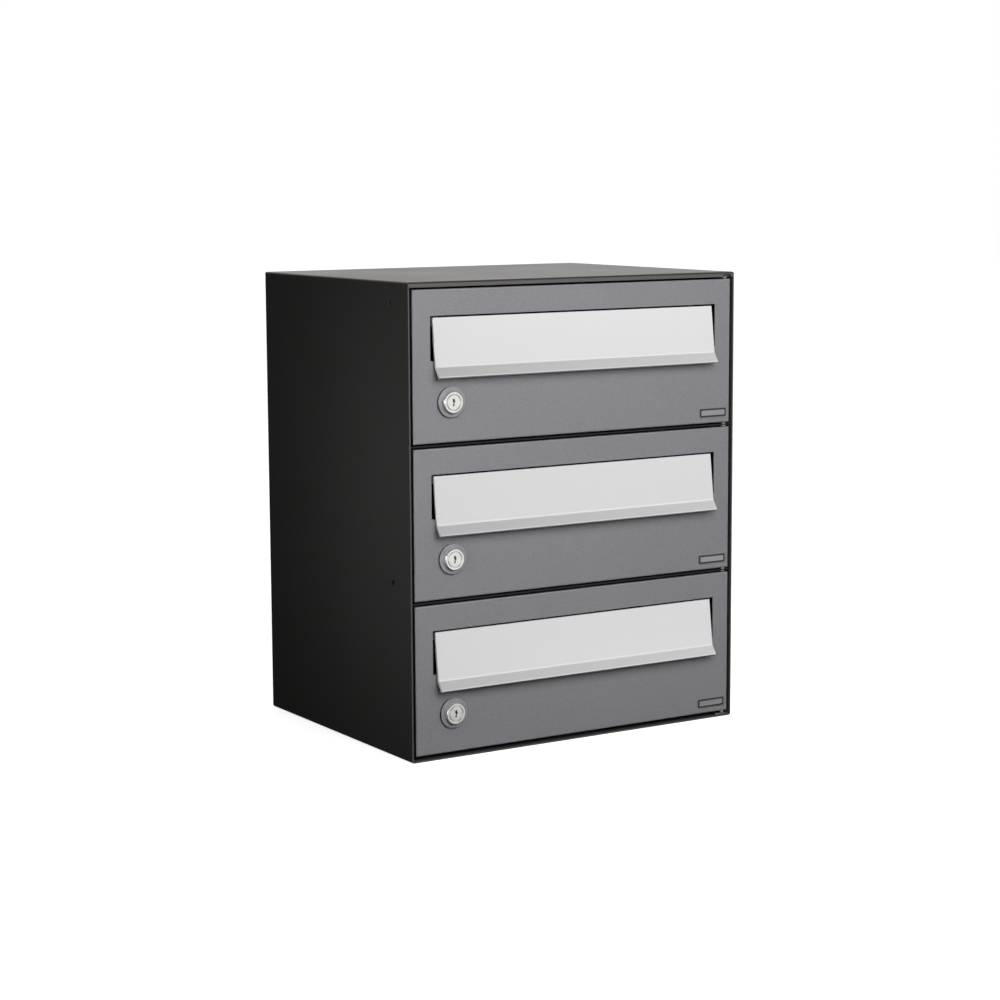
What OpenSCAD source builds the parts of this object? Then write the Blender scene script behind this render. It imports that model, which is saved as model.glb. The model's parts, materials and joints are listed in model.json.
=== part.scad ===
// Cluster mailbox: three letter compartments stacked in one sheet-steel casing.
// +Z is up and the doors face -Y. The origin is the centre of the casing's underside.
// Each door hangs on two vertical pins at its right, and carries a lift-up flap on two
// short pins and a quarter-turn cam lock. At rest all is closed, with the cams unlocked.

/* [Casing] */
// Outer width of the casing
casing_w = 370; // [340:1:460]
// Outer depth of the casing, front edge to back
casing_d = 288; // [180:1:400]
// Casing sheet thickness
casing_t = 1.5; // [1:0.1:2]
// Outside radius of the casing's folds
casing_fold_r = 2; // [1.6:0.1:4]
// Height of the flange turned down along the top of the front
top_flange_h = 5; // [4:0.5:8]
// Thickness of the shelves and the back panel
inner_t = 1.2; // [0.8:0.1:2]
// Width of the flanges folded on the shelves and the back panel
inner_flange = 12; // [8:1:20]

/* [Doors] */
// Height of each door
door_h = 141.5; // [135:0.5:190]
// Depth of the door's folded edges
door_d = 12; // [9:0.5:16]
// Door sheet thickness
door_t = 1.2; // [0.8:0.1:1.6]
// Outside radius of the door's folds
door_fold_r = 1.6; // [1.6:0.1:3]
// Gap between a door's side and the casing
side_gap = 3; // [2.5:0.1:5]
// Gap between one door and the next
door_gap = 4.5; // [4:0.1:7]
// Gap between the top door and the casing's front flange
top_gap = 2; // [1.5:0.1:4]
// Gap between the bottom door and the casing's floor
bottom_gap = 4; // [3.6:0.1:6]

/* [Hinges] */
// Radius of a hinge pin's ends
pin_r = 1.75; // [1.2:0.05:2]
// Radius of the collar at the middle of a hinge pin
pin_collar_r = 2.5; // [2.2:0.05:3]
// Distance of the hinge axis behind the door's face
hinge_back = 5; // [4:0.1:5.2]
// Distance of the hinge axis from the door's right edge
hinge_in = 3.8; // [3.4:0.1:4.2]
// Length of a pin's end inside the door, past the door's sheet
pin_end = 1.6; // [1:0.1:4]

/* [Letter slot and flap] */
// Width of the letter slot
slot_w = 324; // [260:1:328]
// Height of the letter slot
slot_h = 41.5; // [36:0.5:44]
// Distance from the door's top to the slot
slot_top = 24.2; // [20:0.1:30]
// Gap between the flap's end and the slot's end
flap_end_gap = 3.4; // [2:0.1:5]
// Gap between the slot's top edge and the flap's top edge
flap_top_gap = 1.6; // [1.2:0.1:3]
// Thickness of the flap
flap_t = 2.6; // [2:0.1:3]
// Length of the flap's leaning face, top edge to fold
flap_face_h = 46; // [42:0.5:50]
// Lean of the flap's face from vertical, in degrees
flap_lean = 6.9; // [5.5:0.1:9]
// Length of the finger lip below the face
lip_len = 11.6; // [8:0.1:16]
// Angle of the finger lip from vertical, in degrees
lip_lean = 35; // [20:1:50]
// Depth of the flap's top edge behind the door's face
flap_set_back = 1.2; // [0.8:0.1:1.6]
// Distance from the flap's axis to its front face
axis_to_face = 5.5; // [5.2:0.1:6]
// Radius of the knuckles at the flap's ends
knuckle_r = 3.5; // [3:0.1:3.8]
// Length of a knuckle
knuckle_len = 15; // [8:0.5:30]
// Radius of the pins that the flap turns on
flap_pin_r = 1.5; // [1.2:0.05:1.7]
// Thickness of the lugs that hold the flap's pins
lug_t = 1.5; // [1:0.1:2]
// Radius of the two buffers that the closed flap rests on
buffer_r = 2.2; // [1.5:0.1:3]
// Distance of the buffers' centres below the slot
buffer_down = 4.4; // [3:0.1:5]
// Distance of a buffer from the flap's end
buffer_in = 26; // [10:1:60]

/* [Lock] */
// Distance of the lock's axis from the door's left edge
lock_in = 39.7; // [34:0.1:60]
// Height of the lock's axis above the door's bottom edge
lock_up = 37.5; // [36:0.1:45]
// Radius of the rosette
rosette_r = 14.3; // [12:0.1:16]
// Thickness of the rosette
rosette_t = 2.5; // [1.5:0.1:4]
// Radius of the lock barrel's head
head_r = 10; // [9.8:0.1:11]
// Thickness of the lock barrel's head
head_t = 3.5; // [2:0.1:5]
// Radius of the lock barrel behind its head
shank_r = 9.2; // [8.6:0.1:9.6]
// Radius of the turning plug
plug_r = 7.3; // [6:0.1:7.6]
// Width across the flats of the nut
nut_af = 23; // [21:0.5:25]
// Thickness of the nut
nut_t = 3.5; // [2.5:0.1:4]
// Length of the cam from the lock's axis to its tip
cam_len = 34; // [30:0.5:34]
// Width of the cam
cam_w = 15; // [12:0.5:18]
// Thickness of the cam
cam_t = 2; // [1.5:0.1:3]
// Width of the square tail that the cam sits on
tail_w = 7; // [6:0.1:8]

/* [Plate] */
// Length of the blank plate at the door's lower right corner
plate_w = 31.5; // [20:0.5:40]
// Height of the blank plate
plate_h = 8.3; // [6:0.1:12]
// Thickness of the blank plate
plate_t = 0.8; // [0.5:0.1:1.5]
// Distance from the plate to the door's right edge
plate_right = 4.8; // [4:0.1:10]
// Distance from the plate to the door's bottom edge
plate_up = 6.3; // [4:0.1:12]

/* [Fixing holes] */
// Radius of the four wall fixing holes in the back
wall_hole_r = 3.5; // [2.5:0.1:5]
// Distance between the wall fixing holes, side to side
wall_hole_dx = 260; // [160:5:300]
// Distance between the wall fixing holes, up and down
wall_hole_dz = 355; // [320:5:370]
// Radius of the holes in the sides that join one unit to the next
link_hole_r = 2.25; // [1.6:0.05:3]
// Distance of the side holes behind the casing's front edge
link_back = 33; // [20:1:45]
// Height of the lower side hole above the casing's underside
link_low = 166; // [160:1:260]
// Distance between the two side holes
link_dz = 260; // [240:1:264]

/* [Clearances] */
// Running clearance of a pin or plug, on the radius
run_fit = 0.05; // [0.02:0.01:0.1]
// Gap between pieces that move past each other
free_gap = 0.5; // [0.3:0.05:0.8]
// Gap round a panel that is set into the casing
seat_gap = 0.15; // [0.15:0.01:0.3]
// Small gap that keeps the resting faces of moving pieces apart
face_gap = 0.3; // [0.3:0.05:0.5]

/* [Hidden] */
$fn = 64;
eps = 0.01;
LEVELS = ["bottom", "middle", "top"];
DOOR_PIECES = ["door_panel", "flap_lugs", "flap_pins", "flap_buffers", "plate", "lock_rosette",
    "lock_barrel", "lock_nut", "flap", "lock_plug", "lock_cam", "cam_screw"];

// Colours
body_colour = "#2a2a2c";
door_colour = "#6e6d72";
aluminium_colour = "#d6d7d8";
zinc_colour = "#b9bbbd";
nickel_colour = "#dcdcd8";
rubber_colour = "#1c1c1c";

// Casing, from its underside up and from its front edge back
front_y = -casing_d / 2;
inner_w = casing_w - 2 * casing_t;
fold_inside_r = casing_fold_r - casing_t;
inner_fold_inside_r = 0.5;
door_w = inner_w - 2 * side_gap;
door_pitch = door_h + door_gap;
door_bottom = casing_t + bottom_gap;
door_top = door_bottom + 3 * door_h + 2 * door_gap;
casing_h = door_top + top_gap + top_flange_h;
inner_top = casing_h - casing_t;

// Hinge axis, and the shelf's plane in the middle of each gap
hinge_x = door_w / 2 - hinge_in;
hinge_y = front_y + hinge_back;
shelf_lead = 0.7;
shelf_front_y = hinge_y - pin_collar_r - shelf_lead;
back_y = casing_d / 2 - inner_t;
plate_thick = casing_t;
hinge_plate_w = 16;
hinge_plate_len = 26;
notch_w = 9;
notch_below_fold = 0.5;

// Slot and flap, as heights above the door's bottom edge and depths behind its face
slot_high = door_h - slot_top;
slot_low = slot_high - slot_h;
flap_w = slot_w - 2 * flap_end_gap;
axis_z = slot_high - flap_top_gap - axis_to_face * sin(flap_lean) - knuckle_r * cos(flap_lean);
axis_y = flap_set_back + axis_to_face * cos(flap_lean) - knuckle_r * sin(flap_lean);
lug_x = flap_w / 2 - knuckle_len - free_gap - lug_t;
lug_foot_w = 13;
lug_foot_h = 11;
lug_foot_gap = 1.5;
lug_eye_r = flap_pin_r + 0.8;
lug_back = 4;
// How far a lug's arm reaches above the flap's axis, and a flap pin past its lug
lug_arm_up = 1.3;
pin_proud = 1;
// Circle that the flap's top edge sweeps round its axis, with room to spare
sweep_r = norm([axis_to_face, knuckle_r]) + free_gap;
// Depth of the flap's rear face at a height z above the door's bottom edge
function flap_rear_y(z) = axis_y - (axis_to_face - flap_t) / cos(flap_lean) - (axis_z - z) * tan(flap_lean);
buffer_x = flap_w / 2 - buffer_in;
buffer_z = slot_low - buffer_down;
buffer_t = -flap_rear_y(buffer_z + buffer_r) - face_gap;

// Corners of the blank plate
plate_corner_r = 0.8;

// Lock, as depths behind the door's face
lock_x = lock_in - door_w / 2;
head_y = -rosette_t - head_t;
strike_t = casing_t;
strike_y = door_d + free_gap;
cam_y = strike_y + strike_t + free_gap;
shank_end_y = cam_y - free_gap;
strike_reach = 16;
strike_leg = 16;
strike_h = 36;
screw_head_r = 4.6;
screw_head_t = 2.4;
screw_r = 2;
screw_len = 8;
cross_len = 4.8;
cross_w = 1;
cross_deep = 1.2;
key_depth = 9;
groove = 0.45;
rosette_chamfer = 0.6;

// How high the underside of door number i (0 is the bottom one) lies
function door_z(i) = door_bottom + i * door_pitch;
// Middle of the gap above door number i, for i under 2
function shelf_z(i) = door_z(i) + door_h + door_gap / 2;

// Cylinder along X, from x = 0
module x_cylinder(r, len) {
    rotate([0, 90, 0]) cylinder(r = r, h = len);
}

// Cylinder along Y, from y = 0 backwards
module y_cylinder(r, len) {
    rotate([-90, 0, 0]) cylinder(r = r, h = len);
}

// Cone along Y, from radius r1 at y = 0 to r2 at y = len
module y_cone(r1, r2, len) {
    rotate([-90, 0, 0]) cylinder(r1 = r1, r2 = r2, h = len);
}

// Rectangle with round corners, centred on X, its lower edge on the X axis
module round_rect(w, h, r) {
    translate([-w / 2, r]) square([w, h - 2 * r]);
    translate([r - w / 2, 0]) square([w - 2 * r, h]);
    for (x = [r - w / 2, w / 2 - r]) {
        for (z = [r, h - r]) translate([x, z]) circle(r);
    }
}

// Rectangle whose two corners at y = 0 are round; it spans a along X and reaches d in Y
module front_round(a, d, r) {
    translate([0, r]) square([a, d - r]);
    translate([r, 0]) square([a - 2 * r, d]);
    translate([r, r]) circle(r);
    translate([a - r, r]) circle(r);
}

// Block w wide, h high and d deep with its four front edges rounded, its face at y = 0
module soft_front(w, h, d, r) {
    intersection() {
        translate([-w / 2, 0, 0]) linear_extrude(h) front_round(w, d, r);
        translate([-w / 2, 0, 0]) rotate([90, 0, 90]) linear_extrude(w) rotate(90) mirror([0, 1])
            front_round(h, d, r);
    }
}

// Sheet folded back along its four edges, its face at y = 0
module folded_tray(w, h, d, t, r) {
    difference() {
        soft_front(w, h, d, r);
        translate([0, t, t]) soft_front(w - 2 * t, h - 2 * t, d, r - t);
    }
}

// Section of the casing seen from its side: the front edge is rounded at the top only
module side_section(h, r) {
    square([casing_d, h - r]);
    translate([r, 0]) square([casing_d - r, h]);
    translate([r, h - r]) circle(r);
}

module casing_outer(inset, r) {
    intersection() {
        translate([0, front_y, inset]) rotate([90, 0, 0]) mirror([0, 0, 1]) linear_extrude(casing_d)
            round_rect(casing_w - 2 * inset, casing_h - 2 * inset, r);
        translate([-casing_w / 2, front_y + inset, 0]) rotate([90, 0, 90]) linear_extrude(casing_w)
            side_section(casing_h - inset, r);
    }
}

module casing() {
    flange_z = casing_h - top_flange_h;
    color(body_colour) difference() {
        casing_outer(0, casing_fold_r);
        // The hollow: open at the back, and behind the top flange at the front
        intersection() {
            casing_outer(casing_t, fold_inside_r);
            translate([-inner_w / 2, front_y, casing_t]) cube([inner_w, casing_d, casing_h]);
        }
        translate([-inner_w / 2, casing_d / 2 - 2 * casing_t, casing_t])
            cube([inner_w, 3 * casing_t, inner_top - casing_t]);
        // The mouth under the top flange
        translate([-inner_w / 2, front_y - 1, casing_t]) cube([inner_w, casing_t + 2, flange_z - casing_t]);
        // Notch in the flange round the top hinge pin
        translate([hinge_x - notch_w / 2, front_y - 1, flange_z - 1])
            cube([notch_w, casing_t + 1 + eps, 1 + top_flange_h - casing_fold_r - notch_below_fold]);
        // Side holes that join units side by side
        for (z = [link_low, link_low + link_dz]) {
            translate([-casing_w / 2 - 1, front_y + link_back, z]) x_cylinder(link_hole_r, casing_w + 2);
        }
    }
}

module back_panel() {
    w = inner_w - 2 * seat_gap;
    h = inner_top - casing_t - 2 * seat_gap;
    color(body_colour) difference() {
        translate([0, casing_d / 2, casing_t + seat_gap]) mirror([0, 1, 0])
            folded_tray(w, h, inner_flange, inner_t, inner_t + inner_fold_inside_r);
        for (x = [-wall_hole_dx / 2, wall_hole_dx / 2]) {
            for (z = [casing_h / 2 - wall_hole_dz / 2, casing_h / 2 + wall_hole_dz / 2]) {
                translate([x, back_y - 1, z]) y_cylinder(wall_hole_r, inner_t + 2);
            }
        }
    }
}

// Shelf above door number i: a sheet with its sides and rear turned down, notched at its
// rear corners for the back panel's flanges
module shelf(i) {
    side_start = front_y + link_back;
    z = shelf_z(i) + inner_t / 2;
    depth = back_y - shelf_front_y;
    notch_x = seat_gap + inner_t + free_gap;
    notch_y = inner_flange - inner_t + free_gap;
    side_len = back_y - notch_y - side_start;
    rear_w = inner_w - 2 * notch_x;
    color(body_colour) difference() {
        union() {
            translate([-inner_w / 2, shelf_front_y, z - inner_t]) cube([inner_w, depth - notch_y, inner_t]);
            translate([-rear_w / 2, shelf_front_y, z - inner_t]) cube([rear_w, depth, inner_t]);
            for (x = [-inner_w / 2, inner_w / 2 - inner_t]) {
                translate([x, side_start, z - inner_flange]) cube([inner_t, side_len, inner_flange]);
            }
            translate([-rear_w / 2, back_y - inner_t, z - inner_flange])
                cube([rear_w, inner_t, inner_flange]);
        }
        translate([hinge_x, hinge_y, z - inner_t - 1]) cylinder(r = pin_collar_r, h = inner_t + 2);
    }
}

module top_hinge_plate() {
    z = casing_h - top_flange_h;
    right = inner_w / 2;
    leg_start = hinge_y + door_d;
    color(zinc_colour) difference() {
        union() {
            translate([right - hinge_plate_w, shelf_front_y, z])
                cube([hinge_plate_w, hinge_plate_len, plate_thick]);
            translate([right - plate_thick, leg_start, z - inner_flange])
                cube([plate_thick, shelf_front_y + hinge_plate_len - leg_start, inner_flange + plate_thick]);
        }
        translate([hinge_x, hinge_y, z - 1]) cylinder(r = pin_collar_r, h = plate_thick + 2);
    }
}

module bottom_hinge_plate() {
    color(zinc_colour) difference() {
        translate([inner_w / 2 - fold_inside_r - hinge_plate_w, shelf_front_y, casing_t])
            cube([hinge_plate_w, hinge_plate_len, plate_thick]);
        translate([hinge_x, hinge_y, casing_t - 1]) cylinder(r = pin_r, h = plate_thick + 2);
    }
}

// Pin end that reaches dir = 1 up or -1 down from height z into a door's edge
module pin_tip(z, dir) {
    len = face_gap + door_t + pin_end;
    translate([hinge_x, hinge_y, min(z, z + dir * len)]) cylinder(r = pin_r, h = len);
}

module hinge_pins() {
    color(nickel_colour) {
        for (i = [0, 1]) {
            low = door_z(i) + door_h + face_gap;
            high = door_z(i + 1) - face_gap;
            translate([hinge_x, hinge_y, low]) cylinder(r = pin_collar_r, h = high - low);
            pin_tip(low, -1);
            pin_tip(high, 1);
        }
        top_low = door_top + face_gap;
        top_high = casing_h - top_flange_h + plate_thick;
        translate([hinge_x, hinge_y, top_low]) cylinder(r = pin_collar_r, h = top_high - top_low);
        pin_tip(top_low, -1);
        foot = casing_t + plate_thick;
        bottom_high = door_bottom - face_gap;
        translate([hinge_x, hinge_y, casing_t]) cylinder(r = pin_r, h = plate_thick);
        translate([hinge_x, hinge_y, foot]) cylinder(r = pin_collar_r, h = bottom_high - foot);
        pin_tip(bottom_high, 1);
    }
}

// Angle behind the left edge of door number i: the door rests on it and the cam swings behind it
module strike(i) {
    z = door_z(i) + lock_up - strike_h / 2;
    y = front_y + strike_y;
    color(zinc_colour) {
        translate([-inner_w / 2, y, z]) cube([strike_t, strike_leg, strike_h]);
        translate([-inner_w / 2, y, z]) cube([strike_reach, strike_t, strike_h]);
    }
}

module door_panel() {
    color(door_colour) difference() {
        folded_tray(door_w, door_h, door_d, door_t, door_fold_r);
        translate([-slot_w / 2, -1, slot_low]) cube([slot_w, door_t + 2, slot_h]);
        translate([lock_x, -1, lock_up]) y_cylinder(shank_r + run_fit, door_t + 2);
        translate([hinge_x, hinge_back, -1]) cylinder(r = pin_r + run_fit, h = door_t + 2);
        translate([hinge_x, hinge_back, door_h - door_t - 1]) cylinder(r = pin_r + run_fit, h = door_t + 2);
    }
}

// Lug that holds a flap pin: a foot on the back of the door above the slot, and a hook that
// reaches round behind the flap's swinging top edge to an eye on the flap's axis
module flap_lug() {
    foot_z = slot_high + lug_foot_gap;
    low_z = axis_z - lug_eye_r;
    reach = axis_y + sweep_r + lug_back;
    difference() {
        union() {
            difference() {
                translate([lug_x, door_t, low_z]) cube([lug_t, reach - door_t, foot_z + lug_foot_h - low_z]);
                translate([lug_x - 1, axis_y, axis_z]) x_cylinder(sweep_r, lug_t + 2);
                translate([lug_x - 1, 0, low_z - 1]) cube([lug_t + 2, axis_y, foot_z - low_z + 1]);
            }
            translate([lug_x, axis_y, axis_z]) x_cylinder(lug_eye_r, lug_t);
            translate([lug_x, axis_y, low_z]) cube([lug_t, sweep_r + lug_back, lug_eye_r + lug_arm_up]);
            translate([lug_x - lug_foot_w + lug_t, door_t, foot_z]) cube([lug_foot_w, lug_t, lug_foot_h]);
        }
        translate([lug_x - 1, axis_y, axis_z]) x_cylinder(flap_pin_r, lug_t + 2);
    }
}

module flap_lugs() {
    color(door_colour) {
        flap_lug();
        mirror([1, 0, 0]) flap_lug();
    }
}

module flap_pins() {
    color(zinc_colour) for (side = [0, 1]) {
        mirror([side, 0, 0]) translate([lug_x - pin_proud, axis_y, axis_z])
            x_cylinder(flap_pin_r, flap_w / 2 - lug_x + pin_proud);
    }
}

// Section of the flap's face and lip in the (depth, height) plane, with the axis at the origin
module flap_section() {
    fold_y = knuckle_r - flap_face_h;
    nose = flap_t / 2;
    rotate(-flap_lean) {
        translate([-axis_to_face, fold_y]) square([flap_t, flap_face_h]);
        translate([nose - axis_to_face, fold_y]) {
            circle(nose);
            rotate(flap_lean - lip_lean) {
                translate([-nose, nose - lip_len]) square([flap_t, lip_len - nose]);
                translate([0, nose - lip_len]) circle(nose);
            }
        }
    }
}

// Section of a knuckle, joined to the rear of the flap's face
module knuckle_section() {
    rotate(-flap_lean) {
        circle(knuckle_r);
        translate([-axis_to_face, -knuckle_r]) square([axis_to_face, 2 * knuckle_r]);
    }
}

module flap() {
    color(aluminium_colour) translate([0, axis_y, axis_z]) difference() {
        union() {
            translate([-flap_w / 2, 0, 0]) rotate([90, 0, 90]) linear_extrude(flap_w) flap_section();
            for (x = [-flap_w / 2, flap_w / 2 - knuckle_len]) {
                translate([x, 0, 0]) rotate([90, 0, 90]) linear_extrude(knuckle_len) knuckle_section();
            }
        }
        for (x = [-flap_w / 2 - 1, flap_w / 2 - knuckle_len - 1]) {
            translate([x, 0, 0]) x_cylinder(flap_pin_r + run_fit, knuckle_len + 2);
        }
    }
}

// Small round buffers on the door's face, just below the slot, behind the closed flap
module flap_buffers() {
    color(rubber_colour) for (x = [-buffer_x, buffer_x]) {
        translate([x, -buffer_t, buffer_z]) y_cylinder(buffer_r, buffer_t);
    }
}

module plate() {
    color(rubber_colour) translate([door_w / 2 - plate_right - plate_w / 2, 0, plate_up])
        rotate([90, 0, 0]) linear_extrude(plate_t) round_rect(plate_w, plate_h, plate_corner_r);
}

// What belongs to the lock is drawn round its axis, with y = 0 on the door's face
module at_lock() {
    translate([lock_x, 0, lock_up]) children();
}

module lock_rosette() {
    color(door_colour) at_lock() difference() {
        union() {
            translate([0, rosette_chamfer - rosette_t, 0]) y_cylinder(rosette_r, rosette_t - rosette_chamfer);
            translate([0, -rosette_t, 0]) y_cone(rosette_r - rosette_chamfer, rosette_r, rosette_chamfer);
        }
        translate([0, -rosette_t - 1, 0]) y_cylinder(shank_r, rosette_t + 2);
    }
}

module lock_barrel() {
    color(nickel_colour) at_lock() difference() {
        union() {
            translate([0, head_y, 0]) y_cone(head_r - groove, head_r, groove);
            translate([0, head_y + groove, 0]) y_cylinder(head_r, head_t - groove);
            translate([0, -rosette_t, 0]) y_cylinder(shank_r, rosette_t + shank_end_y);
        }
        translate([0, head_y - 1, 0]) y_cylinder(plug_r + run_fit, shank_end_y - head_y + 2);
        translate([0, head_y, 0]) y_cone(plug_r + run_fit + groove, plug_r + run_fit, groove);
    }
}

module lock_nut() {
    color(zinc_colour) at_lock() difference() {
        translate([0, door_t, 0]) rotate([-90, 0, 0]) cylinder(r = nut_af / 2 / cos(30), h = nut_t, $fn = 6);
        translate([0, door_t - 1, 0]) y_cylinder(shank_r, nut_t + 2);
    }
}

// Warded keyway, centred on the plug
module keyway() {
    polygon([[-1.1, 3.4], [0.7, 3.4], [0.7, 1.5], [1.3, 1.5], [1.3, -0.3], [0.5, -0.3],
        [0.5, -3.4], [-0.9, -3.4], [-0.9, -1.6], [-0.3, -1.6], [-0.3, 0.5], [-1.1, 0.5]]);
}

module lock_plug() {
    tail_len = cam_t + free_gap;
    color(nickel_colour) at_lock() difference() {
        union() {
            translate([0, head_y, 0]) y_cone(plug_r - groove, plug_r, groove);
            translate([0, head_y + groove, 0]) y_cylinder(plug_r, shank_end_y - head_y - groove);
            translate([-tail_w / 2, shank_end_y, -tail_w / 2]) cube([tail_w, tail_len, tail_w]);
        }
        translate([0, head_y + key_depth, 0]) rotate([90, 0, 0]) linear_extrude(key_depth + 1) keyway();
        translate([0, shank_end_y + tail_len - screw_len, 0]) y_cylinder(screw_r, screw_len + 1);
    }
}

// The cam hangs down from the plug's tail at rest, which is unlocked
module lock_cam() {
    color(zinc_colour) at_lock() translate([0, cam_y, 0]) difference() {
        union() {
            y_cylinder(cam_w / 2, cam_t);
            translate([-cam_w / 2, 0, -cam_len + cam_w / 2]) cube([cam_w, cam_t, cam_len - cam_w / 2]);
            translate([0, 0, -cam_len + cam_w / 2]) y_cylinder(cam_w / 2, cam_t);
        }
        translate([-tail_w / 2, -1, -tail_w / 2]) cube([tail_w, cam_t + 2, tail_w]);
    }
}

module cam_screw() {
    color(zinc_colour) at_lock() translate([0, cam_y + cam_t, 0]) difference() {
        union() {
            y_cylinder(screw_head_r, screw_head_t);
            translate([0, -screw_len, 0]) y_cylinder(screw_r, screw_len + eps);
        }
        for (a = [0, 90]) {
            rotate([0, a, 0]) translate([-cross_len / 2, screw_head_t - cross_deep, -cross_w / 2])
                cube([cross_len, cross_deep + 1, cross_w]);
        }
    }
}

// One piece of a door, by its name without the level, placed on door number i
module door_piece(piece, i) {
    translate([0, front_y, door_z(i)]) {
        if (piece == "door_panel") door_panel();
        if (piece == "flap_lugs") flap_lugs();
        if (piece == "flap_pins") flap_pins();
        if (piece == "flap_buffers") flap_buffers();
        if (piece == "plate") plate();
        if (piece == "lock_rosette") lock_rosette();
        if (piece == "lock_barrel") lock_barrel();
        if (piece == "lock_nut") lock_nut();
        if (piece == "flap") flap();
        if (piece == "lock_plug") lock_plug();
        if (piece == "lock_cam") lock_cam();
        if (piece == "cam_screw") cam_screw();
    }
}

casing();
back_panel();
shelf(1);  // upper_shelf
shelf(0);  // lower_shelf
top_hinge_plate();
bottom_hinge_plate();
hinge_pins();
strike(2);  // top_strike
strike(1);  // middle_strike
strike(0);  // bottom_strike
for (i = [0:2]) {
    for (piece = DOOR_PIECES) {
        door_piece(piece, i);
    }
}
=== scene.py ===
import json
import math

import bmesh
import bpy
from mathutils import Matrix, Vector


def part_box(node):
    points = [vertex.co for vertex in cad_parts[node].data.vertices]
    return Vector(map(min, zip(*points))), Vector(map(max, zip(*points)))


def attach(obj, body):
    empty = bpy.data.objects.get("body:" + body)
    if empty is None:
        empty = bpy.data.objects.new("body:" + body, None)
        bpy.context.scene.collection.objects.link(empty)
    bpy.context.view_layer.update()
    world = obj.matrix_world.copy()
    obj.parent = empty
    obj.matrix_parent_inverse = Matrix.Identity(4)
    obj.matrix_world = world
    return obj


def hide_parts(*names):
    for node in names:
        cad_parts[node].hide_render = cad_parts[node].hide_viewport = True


bl_info = {
    "name": "Cluster Mailbox Looks",
    "version": (1, 0, 0),
    "blender": (4, 5, 0),
    "location": "View3D > Sidebar > Mailbox",
    "description": "Builds the finished cluster mailbox unit round its fixed frame",
    "category": "Object",
}

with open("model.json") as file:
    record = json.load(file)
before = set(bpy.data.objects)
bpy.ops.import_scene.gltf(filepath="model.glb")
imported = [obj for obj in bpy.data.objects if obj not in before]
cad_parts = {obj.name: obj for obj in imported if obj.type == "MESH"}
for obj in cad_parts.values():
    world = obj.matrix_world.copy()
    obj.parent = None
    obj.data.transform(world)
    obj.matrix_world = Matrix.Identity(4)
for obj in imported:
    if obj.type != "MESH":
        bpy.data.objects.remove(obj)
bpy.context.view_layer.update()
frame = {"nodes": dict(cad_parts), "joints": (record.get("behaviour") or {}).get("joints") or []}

MM = 0.001
X, Y, Z = 0, 1, 2
TINY = 1e-6
LEVELS = ("bottom", "middle", "top")
ROUND_STEPS = 6
TURN_STEPS = 72
# Edges sharper than these are softened: on sheet pieces, and on turned pieces with shallow chamfers
SHARP = math.radians(38)
SHALLOW = math.radians(20)
LONG_EDGE = 10 * MM
CLEAR = 10 * MM

# Radii that soften cut edges
FINE_EDGE = 0.12 * MM
RING_EDGE = 0.15 * MM
SMALL_EDGE = 0.2 * MM
ROUND_EDGE = 0.3 * MM

# Painted shade of the marked folds and of the doors' returns, and the lighter tone of the top flange
# The fold's near-black is painted shade: a dark line drawn along the casing's top fold.
FOLD_PAINTED_SHADE = (0.008, 0.008, 0.008)
FLANGE_TONE = (0.082, 0.08, 0.079)
# The returns' dark tone is painted shade on the doors' folded edges, which lie in the gaps between doors.
RETURN_PAINTED_SHADE = (0.03, 0.03, 0.031)

# Patterns of the finishes, in repeats per metre
COAT_CLOUDS, COAT_GRAIN, CHIPS = 9, 950, 260
DRAWN_LINES, DRAWN_PORES, DRAWN_CLOUDS = 1900, 2600, 14
HEAD_RINGS, PLUG_RINGS, TURNED_CLOUDS = 2600, 3400, 160
CRYSTALS, ZINC_STAINS = 420.0, 60
SKIN_GRAIN, SKIN_CLOUDS = 1200, 90

# The letter flap's section, turned about its axis
LEAN = math.radians(6.9)
LIP_LEAN = math.radians(35)
FACE_HEIGHT = 46 * MM
LIP_LENGTH = 11.59 * MM
AXIS_TO_FACE = 5.5 * MM
KNUCKLE_RADIUS = 3.5 * MM
KNUCKLE_LENGTH = 15 * MM
FLAP_THICK = 2.6 * MM
CREASE_RADIUS = 1.2 * MM
CREASE_STEPS = 5
KNUCKLE_STEPS = 10
ROUND_SPARE = 0.02 * MM
FLAP_BORE = 1.55 * MM
BORE_STEPS = 24
BORE_SHARE = 0.9

# Lock, from its axis; the keyway's corners are in millimetres
SHANK_RADIUS = 9.2 * MM
HEAD_RADIUS = 10 * MM
PLUG_RADIUS = 7.3 * MM
RING_BORE = SHANK_RADIUS + 0.02 * MM
PLUG_BORE = PLUG_RADIUS + 0.05 * MM
RING_CHAMFER = 0.6 * MM
HEAD_CHAMFER = 0.45 * MM
TAIL_HALF = 3.5 * MM
TAIL_OVERLAP = 0.5 * MM
KEYWAY_DEPTH = 9 * MM
KEYWAY = ((-1.1, 3.4), (0.7, 3.4), (0.7, 1.5), (1.3, 1.5), (1.3, -0.3), (0.5, -0.3),
          (0.5, -3.4), (-0.9, -3.4), (-0.9, -1.6), (-0.3, -1.6), (-0.3, 0.5), (-1.1, 0.5))

# Blank plate
PLATE_CORNER = 0.8 * MM
PLATE_RIM = 1.6 * MM
PLATE_STEP = 0.12 * MM
PLATE_SUNK = 0.25 * MM
PLATE_STEPS = 5

# Casing, strikes and the doors' folded returns; the strike's fold is in sheet thicknesses
TOP_FLANGE = 5 * MM
FLANGE_ENDS = 3 * MM
STRIKE_FOLD = 1.2
RETURN_DEPTH = 0.1 * MM

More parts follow.
